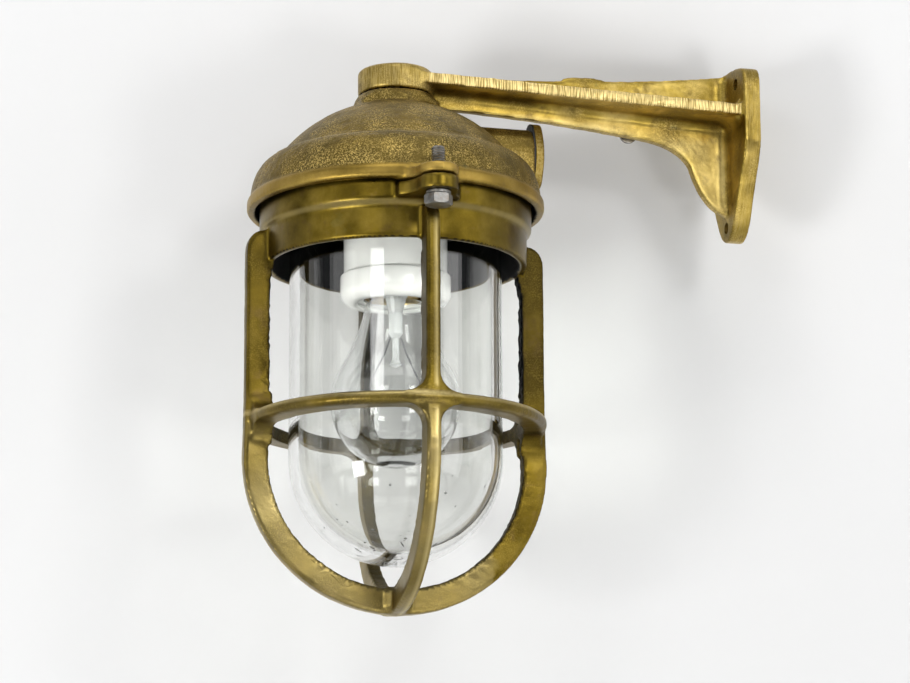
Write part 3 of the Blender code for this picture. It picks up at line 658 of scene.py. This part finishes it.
# Cable gland: an oval brass flange on a thin gasket squeezes a rubber seal round the cable, and two
# countersunk steel screws hold it to the boss. The hole is empty, as no cable is fitted.

GASKET_FACE = GLAND_FACE + 0.3
FLANGE_FACE = GASKET_FACE + 0.7 + 0.3
FLANGE_FRONT = FLANGE_FACE + 4.0
GLAND_SCREW = 9.4


def gland_oval():
    ends = arc((0, 9.4), (6.5, 6.5), 30, 90, 8)
    flank = bend((9.5, 0), (9.5, 6), ends[0], 8)
    quarter = flank + ends[1:]
    half = quarter + [(-px, py) for px, py in reversed(quarter[:-1])]
    return half + [(-px, -py) for px, py in half[1:-1]]


flange_plate = slab(gland_oval(), 4.0, ALONG_X, (FLANGE_FACE + 2, 0, GLAND_HEIGHT))
front_edges = [e for e in flange_plate.edges if all(v.co.x > FLANGE_FRONT - 0.1 for v in e.verts)]
bmesh.ops.bevel(flange_plate, geom=front_edges, offset=0.9, segments=3, affect="EDGES", profile=0.5,
                material=-1)
gland_cores = [bore(4.9, FLANGE_FACE - 3, FLANGE_FRONT + 3, turn=ALONG_X)]
gland_cores += [spun([(0, 1), (3.4, 1), (3.4, -0.1), (1.8, -1.8), (1.8, -15), (0, -15)], 32)
                for _ in range(2)]
bmesh.ops.translate(gland_cores[0], verts=gland_cores[0].verts, vec=(0, 0, GLAND_HEIGHT))
for core, side in zip(gland_cores[1:], (1, -1)):
    bmesh.ops.transform(core, verts=core.verts, matrix=Matrix.Translation(
        (FLANGE_FRONT, 0, GLAND_HEIGHT + side * GLAND_SCREW)) @ ALONG_X.to_4x4())
gland_flange = drilled(mesh_of(flange_plate, "gland_flange_plate"), gland_cores)
for layer in ("sandy", "ground"):
    paint(gland_flange, layer, np.full(len(gland_flange.vertices), 0.15))
show("gland_flange_plate", gland_flange, dome_brass, "lamp_body", "cast_brass", "gland_flange", sharp=35)
for end, side in (("upper", 1), ("lower", -1)):
    head = spun([(0, -0.1), (2.9, -0.1), (3.0, -0.3), (1.5, -1.85), (1.5, -14.5), (0, -14.5)], 32)
    bmesh.ops.transform(head, verts=head.verts, matrix=Matrix.Translation(
        (FLANGE_FRONT, 0, GLAND_HEIGHT + side * GLAND_SCREW)) @ ALONG_X.to_4x4())
    cutter = driver_slot(FLANGE_FRONT, 0, GLAND_HEIGHT + side * GLAND_SCREW, 1.6, 8, 0.8,
                         Matrix.Rotation(math.radians(25 * side), 3, "X"))
    screw = drilled(mesh_of(head, "screw"), [cutter])
    show(f"gland_screw_{end}_slotted", screw, steel, "lamp_body", "zinc_steel", f"gland_screw_{end}",
         sharp=30)


def aged_rubber(name):
    coat, nodes, links = new_coat(name)
    shader = nodes["Principled BSDF"]
    cloud = speckle(nodes, links, 300, 4)
    links.new(ramp(nodes, links, cloud, (0.35, (0.010, 0.010, 0.010)), (0.7, (0.035, 0.033, 0.030))),
              shader.inputs["Base Color"])
    links.new(ramp(nodes, links, cloud, (0.3, 0.55), (0.7, 0.8)), shader.inputs["Roughness"])
    bump = nodes.new("ShaderNodeBump")
    bump.inputs["Strength"].default_value = 0.3
    bump.inputs["Distance"].default_value = 0.0003
    links.new(speckle(nodes, links, 900, 3), bump.inputs["Height"])
    links.new(bump.outputs[0], shader.inputs["Normal"])
    return coat


rubber = aged_rubber("aged_rubber")
recoat(rubber, "gland_gasket", "gland_seal")


# Lampholder: two pieces of white glazed porcelain screwed together, with a rolled brass shell inside for
# the bulb's thread. It hangs from a steel bar across the cap, under two screws up into the posts.


def glazed_porcelain(name):
    coat, nodes, links = new_coat(name)
    shader = nodes["Principled BSDF"]
    grime = ramp(nodes, links, speckle(nodes, links, 55, 4), (0.45, 0.0), (0.8, 0.35))
    links.new(blend_of(nodes, links, grime, (0.88, 0.88, 0.86), (0.62, 0.60, 0.56)),
              shader.inputs["Base Color"])
    shader.inputs["Roughness"].default_value = 0.16
    shader.inputs["Coat Weight"].default_value = 0.4
    shader.inputs["Coat Roughness"].default_value = 0.05
    bump = nodes.new("ShaderNodeBump")
    bump.inputs["Strength"].default_value = 0.06
    bump.inputs["Distance"].default_value = 0.0004
    links.new(speckle(nodes, links, 130, 2), bump.inputs["Height"])
    links.new(bump.outputs[0], shader.inputs["Normal"])
    return coat


porcelain = glazed_porcelain("glazed_porcelain")
holder = spun(
    [(0, 75.7), (17.4, 75.7)] + arc((17.4, 74.1), (1.6, 1.6), 90, 0, 4)
    + [(20.3, 73.4), (20.8, 70), (21.2, 66.4)]
    + bend((21.2, 66.4), (22, 64.6), (23.2, 63.2), 4)[1:] + arc((22.6, 61.6), (1.4, 1.4), 50, 0, 3)
    + [(24, 31.2), (23.4, 30.6), (21.6, 30.6), (21.6, 19), (14.8, 19), (14.8, 50.6), (0, 50.6)], 96)
holder_cores = [bore(1.8, 45, 80, y=side * 8) for side in (-1, 1)]
body = drilled(mesh_of(holder, "lampholder_upper"), holder_cores)
show("lampholder_upper", body, porcelain, "lamp_body", "porcelain", "lampholder_body")
skirt = spun(
    [(22, 30.3), (24.4, 30.3)] + arc((24.4, 29.1), (1.2, 1.2), 90, 0, 4) + [(25.6, 22)]
    + arc((20.6, 22), (5, 5), 0, -84, 10) + [(18.6, 17), (17.5, 17.5), (17.5, 18.6), (22, 18.6)], 96)
show("lampholder_skirt", mesh_of(skirt, "lampholder_skirt"), porcelain, "lamp_body", "porcelain",
     "lampholder_ring")


def rolled_brass(name):
    coat, nodes, links = new_coat(name)
    shader = nodes["Principled BSDF"]
    shader.inputs["Metallic"].default_value = 1.0
    cloud = speckle(nodes, links, 180, 4)
    links.new(ramp(nodes, links, cloud, (0.3, (0.42, 0.30, 0.12)), (0.7, (0.78, 0.60, 0.28))),
              shader.inputs["Base Color"])
    links.new(ramp(nodes, links, cloud, (0.3, 0.42), (0.7, 0.24)), shader.inputs["Roughness"])
    return coat


def threaded(crest, root, pitch, low, high, steps=64, inside=False):
    """A rounded screw thread with its true helix, trimmed level at both ends; open-ended."""
    bm = bmesh.new()
    turns = math.ceil((high - low) / pitch) + 2
    middle, swing = (crest + root) / 2, (crest - root) / 2
    points = [bm.verts.new((middle + swing * math.cos(math.tau * i / 6), 0,
                            low - 1.5 * pitch + pitch * i / 6))
              for i in range(turns * 6 + 1)]
    chain = [bm.edges.new(pair) for pair in zip(points, points[1:])]
    bmesh.ops.spin(bm, geom=points + chain, cent=(0, 0, 0), axis=(0, 0, 1), dvec=(0, 0, pitch / steps),
                   angle=math.tau, steps=steps, use_merge=False)
    bmesh.ops.remove_doubles(bm, verts=bm.verts, dist=0.01)
    for height, away in ((low, -1), (high, 1)):
        bmesh.ops.bisect_plane(bm, geom=bm.verts[:] + bm.edges[:] + bm.faces[:], plane_co=(0, 0, height),
                               plane_no=(0, 0, away), clear_outer=True)
    bmesh.ops.recalc_face_normals(bm, faces=bm.faces)
    if inside:
        bmesh.ops.reverse_faces(bm, faces=bm.faces)
    return bm


def walled(bm, thickness):
    """A sheet given a wall on its inner side."""
    bmesh.ops.solidify(bm, geom=bm.faces[:], thickness=thickness)
    return bm


sheet_brass = rolled_brass("rolled_brass")
shell = walled(threaded(14.3, 13.5, 3.63, 20, 46), 0.25)
show("lampholder_thread", mesh_of(shell, "lampholder_thread"), sheet_brass, "lamp_body", "sheet_brass",
     "lampholder_shell", sharp=60)
recoat(steel, "lampholder_bar", "bar_screw_front", "bar_screw_back", "lampholder_screw_front",
       "lampholder_screw_back")
recoat(sheet_brass, "centre_contact", "terminal_left", "terminal_right", "terminal_screw_left",
       "terminal_screw_right")


# Guard: collar, two lugs, four ribs and a ring, all one brass casting. The collar is turned smooth, the
# ribs are ground along their outer faces, and their inner edges keep the burrs and pits of the mould.
# A painted highlight runs down each rib's outer face and along the ring's top edge, and painted shade
# darkens the collar's inside, the ribs' inward faces and their upper part.

SEAT, COLLAR_FOOT = 57.0, 34.5
RING_RADIUS, SIDE_RIB_RADIUS, BOLT_RIB_RADIUS = 69.0, 70.6, 68.2
CAGE_BEND, CAGE_DEPTH = -57.0, 69.5
RIB_WIDTH, RIB_DEPTH = 6.5, 11.0
RING_HEIGHT = -39.0

collar = spun(
    [(59.5, 66), (62.3, 66), (63, 65.3), (63, 51.8), (62.6, 51.0), (61.0, 49.6), (60.7, 48.8),
     (60.6, COLLAR_FOOT + 0.9), (60.0, COLLAR_FOOT + 0.1), (57.9, COLLAR_FOOT), (57.2, COLLAR_FOOT + 0.6),
     (53.2, 50), (52, 54), (52, SEAT), (59.5, SEAT)], 160)


def rib_pair(radius, turn):
    """Two opposite ribs in one U, from the collar down and round under the glass."""
    outer = (
        [(58.0, 48.6)] + bend((60.4, 48.6), (radius - 0.2, 48.6), (radius, 38), 10)
        + [(radius, 0), (radius, -30)]
        + arc((0, CAGE_BEND), (radius + 0.6, CAGE_DEPTH), 0, -90, 40)
    )
    hollow = radius - RIB_DEPTH
    inner = (
        [(0, CAGE_BEND - CAGE_DEPTH + RIB_DEPTH + 0.4)]
        + arc((0, CAGE_BEND), (hollow + 0.4, CAGE_DEPTH - RIB_DEPTH - 0.5), -86, 0, 34)
        + [(hollow, -20), (hollow, 24), (58.0, 33)]
    )
    return slab(outer + [(-px, pz) for px, pz in reversed(outer[:-1])]
                + [(-px, pz) for px, pz in reversed(inner[1:])] + inner, RIB_WIDTH, turn)


ribs = [rib_pair(SIDE_RIB_RADIUS, UPRIGHT),
        rib_pair(BOLT_RIB_RADIUS, Matrix.Rotation(math.pi / 2, 3, "Z") @ UPRIGHT)]
ring = spun([(58.0, -36.1), (66.6, -36.3), (68.6, -37.2), (RING_RADIUS, -38.2), (RING_RADIUS, -40.4),
             (68.4, -41.4), (66.4, -42.2), (58.0, -42.5)], 192)
crossing = spun([(0, -113.9), (6, -114.3), (7.4, -116.5), (7.4, -123), (5, -126.4), (0, -127.0)], 32)
guard_lugs = [bolt_lug(side, 51.8, 58.3, 59, (15.5, 13.0)) for side in (-1, 1)]

# Hollow corners where each rib crosses the ring, on the outer face and all the way through it.
crossings = []
for quarter in range(4):
    spot = Matrix.Rotation(math.radians(90 * quarter), 4, "Z") @ Matrix.Translation((63.2, 0, 0))
    for across in (1, -1):
        for over, z_edge in ((1, -36.4), (-1, -42.2)):
            corner = slab([(px, py) for px, py in cove(9.0, across, over)], 9.6, ALONG_X)
            bmesh.ops.translate(corner, verts=corner.verts, vec=(0, across * RIB_WIDTH / 2, z_edge))
            bmesh.ops.transform(corner, matrix=spot, verts=corner.verts)
            crossings.append(corner)
cage_cores = [bore(3.45, 46, 66, y=side * BOLT_CIRCLE) for side in (-1, 1)]
cage = cast("guard_casting", [collar, *ribs, ring, crossing, *guard_lugs, *crossings], 0.9, 1, cage_cores)
at, facing = points_and_normals(cage)
x, y, z = at.T
r = np.hypot(x, y)
rib_radius = np.where(np.abs(x) > np.abs(y), SIDE_RIB_RADIUS, BOLT_RIB_RADIUS)
deep = np.where(z < CAGE_BEND, np.hypot(r / rib_radius, (z - CAGE_BEND) / CAGE_DEPTH), r / rib_radius)
rib_part = (z < 48) & ~((z > COLLAR_FOOT - 1) & (r < 61.5))
inward = (x * facing[:, 0] + y * facing[:, 1]
          + np.minimum(0, z - CAGE_BEND) * facing[:, 2] * 0.75) < -0.3 * r
burr = (rib_part * np.clip((0.89 - deep) / 0.03, 0, 1) * (np.abs(z - RING_HEIGHT) > 5)
        * np.where(z > RING_HEIGHT, 1.0, 0.45))
shove(cage, pebbles(at, 10.0, 4) * 0.14 + rib_part * pebbles(at, 2.6, 1) * 0.08
      + burr * (pebbles(at, 1.9, 8) * 0.6 + pebbles(at, 5.0, 6) * 0.35))
# Painted shade: the collar's inside and the ribs' inward faces are darkened towards black.
collar_inside = (z > COLLAR_FOOT - 0.4) & (r < 60.2) & (facing[:, 2] > -0.8)
out_face = rib_part * np.clip((deep - 0.955) / 0.03, 0, 1)
beside = np.abs(np.where(np.abs(x) < np.abs(y), x, y) - 1.2)
off_ring = np.clip((np.abs(z - RING_HEIGHT) - 4) / 2, 0, 1)
# Painted highlight: a thin pale line runs down each rib's outer face, off its middle.
ridge_highlight = out_face * np.clip(1.2 - beside, 0, 1) * off_ring
# Painted highlight: the upper edge of the ring's outer face is brightened, with ground streaks and the pale
# colour.
ring_top_highlight = rib_part * (r > 66.0) * np.clip(1.4 - np.abs(z + 37.4), 0, 1)
turned_edge = (~rib_part) * np.clip(1.5 - np.abs(z - 50.4), 0, 1) * (r < 63.5)
# Painted shade: the ribs darken upwards towards the cap, most on the wall side.
upper_rib_shade = rib_part * np.clip((z - RING_HEIGHT - 3) / 20, 0, 1) * (0.22 + 0.2 * (x > 50))
paint(cage, "inside", collar_inside * 1.0 + (rib_part & inward) * 0.6 + upper_rib_shade)
paint(cage, "sandy", rib_part * (0.28 + 0.5 * pebbles(at, 13.0, 3)) + (rib_part & inward) * 0.6
      + (~rib_part) * 0.05)
# The ribs are painted paler towards their feet, except on the wall side.
paler_towards_feet = rib_part * np.clip((RING_HEIGHT + 6 - z) / 25, 0.0, 1) * (0.20 + 0.2 * pebbles(at, 22.0, 2))
paint(cage, "ground", ring_top_highlight * 0.2)
paint(cage, "wear_and_highlight", ridge_highlight * 0.4 + ring_top_highlight * 0.4 + turned_edge * 0.2 + paler_towards_feet * (x < 45))
cage_brass = cast_brass("cage_brass", ((0.058, 0.038, 0.004), (0.130, 0.089, 0.010), (0.235, 0.165, 0.030)),
                        skin=(0.060, 0.041, 0.006), grain=(0.30, 0.215, 0.045),
                        shine=0.25, verdigris=0.1, wear_and_highlight_colour=(0.66, 0.54, 0.25))
show("guard_casting", cage, cage_brass, "guard", "cast_brass", "guard_cage")


# Gaskets: two flat rings of black rubber, above and below the rim of the glass.

for name, body_name, profile in (
    ("lower_gasket", "guard", [(51.2, 59.3), (58.4, 59.3), (59, 58.8), (59, 57.6), (58.6, 57.3),
                               (52.8, 57.3), (50.6, 58.9)]),
    ("upper_gasket", "lamp_body", [(51.4, 67.9), (58, 67.9), (58.5, 67.5), (58.5, 66.3), (58, 65.9),
                                   (51.4, 65.9), (50.8, 66.9)]),
):
    show(name + "_ring", mesh_of(spun(profile, 96), name + "_ring"), rubber, body_name, "black_rubber", name)


# Glass globe: thick pressed glass with a rolled rim and a round foot, which the collar's seat carries.
# Its wall is a little uneven, and seeds and cords are left in the foot.

GLASS_RADIUS, GLASS_WALL, GLASS_BEND = 49.0, 4.5, -55.2


def thick_glass(name, tone, uneven):
    coat, nodes, links = new_coat(name)
    shader = nodes["Principled BSDF"]
    shader.inputs["Transmission Weight"].default_value = 1.0
    shader.inputs["Roughness"].default_value = 0.0
    shader.inputs["IOR"].default_value = 1.48
    dust = ramp(nodes, links, speckle(nodes, links, 38, 4), (0.42, 1.0), (0.75, 0.6))
    links.new(blend_of(nodes, links, dust, (tone[0] * 0.8, tone[1] * 0.8, tone[2] * 0.8), tone),
              shader.inputs["Base Color"])
    bump = nodes.new("ShaderNodeBump")
    bump.inputs["Strength"].default_value = uneven
    bump.inputs["Distance"].default_value = 0.0006
    links.new(speckle(nodes, links, 45, 1.5, stretch=(1, 1, 0.45)), bump.inputs["Height"])
    links.new(bump.outputs[0], shader.inputs["Normal"])
    ray = nodes.new("ShaderNodeLightPath")
    open_way = nodes.new("ShaderNodeBsdfTransparent")
    open_way.inputs["Color"].default_value = (*tone, 1)
    mix = nodes.new("ShaderNodeMixShader")
    links.new(ray.outputs["Is Shadow Ray"], mix.inputs["Fac"])
    links.new(shader.outputs[0], mix.inputs[1])
    links.new(open_way.outputs[0], mix.inputs[2])
    links.new(mix.outputs[0], nodes["Material Output"].inputs["Surface"])
    return coat


inner = GLASS_RADIUS - GLASS_WALL
globe = spun(
    [(48.5, 65.4), (48.7, 65.6), (57.9, 65.6)] + arc((57.9, 65), (0.6, 0.6), 90, 0, 3) + [(58.5, 60.2)]
    + arc((57.9, 60.2), (0.6, 0.6), 0, -90, 3) + [(50.4, 59.6)]
    + bend((50.4, 59.6), (49.2, 59.4), (GLASS_RADIUS, 57), 4)[1:]
    + [(GLASS_RADIUS, 20), (GLASS_RADIUS, -20)]
    + arc((0, GLASS_BEND), (GLASS_RADIUS, GLASS_RADIUS), 0, -90, 28)
    + arc((0, GLASS_BEND), (inner, inner - 1.2), -90, 0, 26)
    + [(inner, -20), (inner, 20), (inner, 57), (46, 63.5)], 128)
foot_wall = GLASS_RADIUS - GLASS_WALL / 2
for _ in range(64):
    down, round_about, size = 6 + 70 * rng.random() ** 1.6, rng.uniform(0, 360), rng.uniform(0.22, 0.6)
    seed_turn = (Matrix.Rotation(math.radians(round_about), 4, "Z")
                 @ Matrix.Rotation(math.radians(180 - down), 4, "Y"))
    place = Matrix.Translation((0, 0, GLASS_BEND)) @ seed_turn @ Matrix.Translation((0, 0, foot_wall))
    stretch = Matrix.Diagonal((rng.uniform(1, 6 if down < 30 else 1.4), 1, 0.8, 1))
    seed = bmesh.ops.create_icosphere(globe, subdivisions=2, radius=size, matrix=place @ Matrix.Rotation(
        rng.uniform(0, math.tau), 4, "Z") @ stretch)["verts"]
    bmesh.ops.reverse_faces(globe, faces=list({face for v in seed for face in v.link_faces}))
globe_mesh = mesh_of(globe, "glass_globe_pressed")
clear = thick_glass("pressed_glass", (0.925, 0.932, 0.915), 0.10)
show("glass_globe_pressed", globe_mesh, clear, "guard", "clear_glass", "glass_globe", sharp=50)


# Closure bolts: two quarter-inch hexagon bolts in zinced steel, each with a split spring washer. They go
# up through the guard's lugs into the cap's, and unscrew downwards together with their washers.

THREAD_RADIUS, HEAD_LOW, HEAD_HIGH, BOLT_TIP, BOLT_PITCH = 3.15, 45.2, 49.9, 72.0, 1.27
HEAD_CORNER = 6.5


def closure_bolt(y, head_turn):
    """Head and threaded shank, met under the head."""
    head = bmesh.new()
    bmesh.ops.create_cone(head, cap_ends=True, segments=6, radius1=HEAD_CORNER, radius2=HEAD_CORNER,
                          depth=HEAD_HIGH - HEAD_LOW,
                          matrix=Matrix.Translation((0, 0, (HEAD_LOW + HEAD_HIGH) / 2))
                          @ Matrix.Rotation(head_turn, 4, "Z"))
    form = spun([(0, HEAD_LOW - 0.5), (5.2, HEAD_LOW - 0.3), (HEAD_CORNER + 0.1, HEAD_LOW + 0.9),
                 (HEAD_CORNER + 0.1, HEAD_HIGH - 0.5), (5.9, HEAD_HIGH + 0.1), (0, HEAD_HIGH + 0.1)], 48)
    stem = threaded(THREAD_RADIUS, THREAD_RADIUS - 0.55, BOLT_PITCH, HEAD_HIGH - 1.5, BOLT_TIP, 48)
    bmesh.ops.holes_fill(stem, edges=stem.edges, sides=0)
    bmesh.ops.recalc_face_normals(stem, faces=stem.faces)
    tip = spun([(0, BOLT_TIP + 0.1), (2.3, BOLT_TIP + 0.1), (3.3, BOLT_TIP - 1.0), (3.3, HEAD_HIGH - 2),
                (0, HEAD_HIGH - 2)], 48)
    shank = drilled(mesh_of(stem, "stem"), [tip], "INTERSECT")
    added = bmesh.new()
    added.from_mesh(shank)
    bolt = drilled(drilled(mesh_of(head, "head"), [form], "INTERSECT"), [added], "UNION")
    bolt.transform(Matrix.Translation((0, y, 0)))
    return bolt


for end, side in (("front", -1), ("back", 1)):
    bolt = closure_bolt(side * BOLT_CIRCLE, math.radians(28))
    show(f"closure_bolt_{end}_threaded", bolt, steel, f"bolt_{end}", "zinc_steel", f"closure_bolt_{end}",
         sharp=30)
    split = spun([(3.5, 51.4), (3.6, 51.5), (5.5, 51.5), (5.6, 51.4), (5.6, 50.3), (5.5, 50.2),
                  (3.6, 50.2), (3.5, 50.3)],
                 60, (0, side * BOLT_CIRCLE, 0))
    gap_tool = driver_slot(4.6 * side, side * BOLT_CIRCLE, 50.85, 4, 0.8, 3, Matrix.Rotation(0.5, 3, "Y"))
    washer = drilled(mesh_of(split, "washer"), [gap_tool])
    show(f"closure_washer_{end}_split", washer, steel, f"bolt_{end}_travel", "zinc_steel",
         f"closure_washer_{end}", sharp=30)


# Bulb: a clear pear-shaped lamp on a rolled brass screw cap. A glass stem carries two leads and the
# filament, and black glass keeps the end contact apart from the cap.

BULB_RADIUS, BULB_CENTRE = 30.0, -29.2
neck_line = [(12.1, 33), (12.1, 19.7)] + bend((12.1, 19.7), (12.8, 17.6), (14.4, 16.4), 4)[1:] + bend(
    (14.4, 16.4), (15.6, 4), (26.49, BULB_CENTRE + BULB_RADIUS * math.sin(math.radians(28))), 16)[1:]
outside = neck_line + arc((0, BULB_CENTRE), (BULB_RADIUS, BULB_RADIUS), 28, -90, 26)[1:]
inside = [(px - min(1.0, px), pz + (1.0 if px < 8 else 0.4 * (px < 20) * (pz < BULB_CENTRE)))
          for px, pz in reversed(outside)]
envelope = spun(outside + inside, 96)
show("bulb_envelope", mesh_of(envelope, "bulb_envelope"),
     thick_glass("blown_glass", (0.985, 0.99, 0.99), 0.03), "bulb",
     "bulb_glass", "bulb_glass", sharp=70)
stem_glass = thick_glass("stem_glass", (0.97, 0.98, 0.98), 0.05)
stem_glass.node_tree.nodes["Principled BSDF"].inputs["Transmission Weight"].default_value = 0.6
recoat(stem_glass, "bulb_stem")
screw_cap = walled(threaded(13.1, 12.4, 3.63, 20, 38.4, 72), 0.3)
crown = spun([(9.2, 42), (10.2, 42), (12.3, 39.2), (12.3, 38.2), (11.9, 38.2), (9.9, 41.3), (9.2, 41.3)], 72)
crown_mesh = mesh_of(crown, "crown")
screw_cap.from_mesh(crown_mesh)
show("bulb_screw_cap", mesh_of(screw_cap, "bulb_screw_cap"), sheet_brass, "bulb", "sheet_brass",
     "bulb_cap", sharp=60)
recoat(sheet_brass, "bulb_contact")


def black_vitrite(name):
    coat, nodes, links = new_coat(name)
    shader = nodes["Principled BSDF"]
    cloud = speckle(nodes, links, 240, 3)
    links.new(ramp(nodes, links, cloud, (0.3, (0.008, 0.008, 0.012)), (0.7, (0.03, 0.03, 0.04))),
              shader.inputs["Base Color"])
    shader.inputs["Roughness"].default_value = 0.12
    return coat


def drawn_wire(name):
    coat, nodes, links = new_coat(name)
    shader = nodes["Principled BSDF"]
    shader.inputs["Metallic"].default_value = 1.0
    cloud = speckle(nodes, links, 900, 3)
    links.new(ramp(nodes, links, cloud, (0.3, (0.16, 0.16, 0.17)), (0.7, (0.34, 0.34, 0.35))),
              shader.inputs["Base Color"])
    links.new(ramp(nodes, links, cloud, (0.3, 0.35), (0.7, 0.55)), shader.inputs["Roughness"])
    return coat


recoat(black_vitrite("black_vitrite"), "bulb_insulator")
recoat(drawn_wire("tungsten_wire"), "bulb_lead_left", "bulb_lead_right", "bulb_filament")
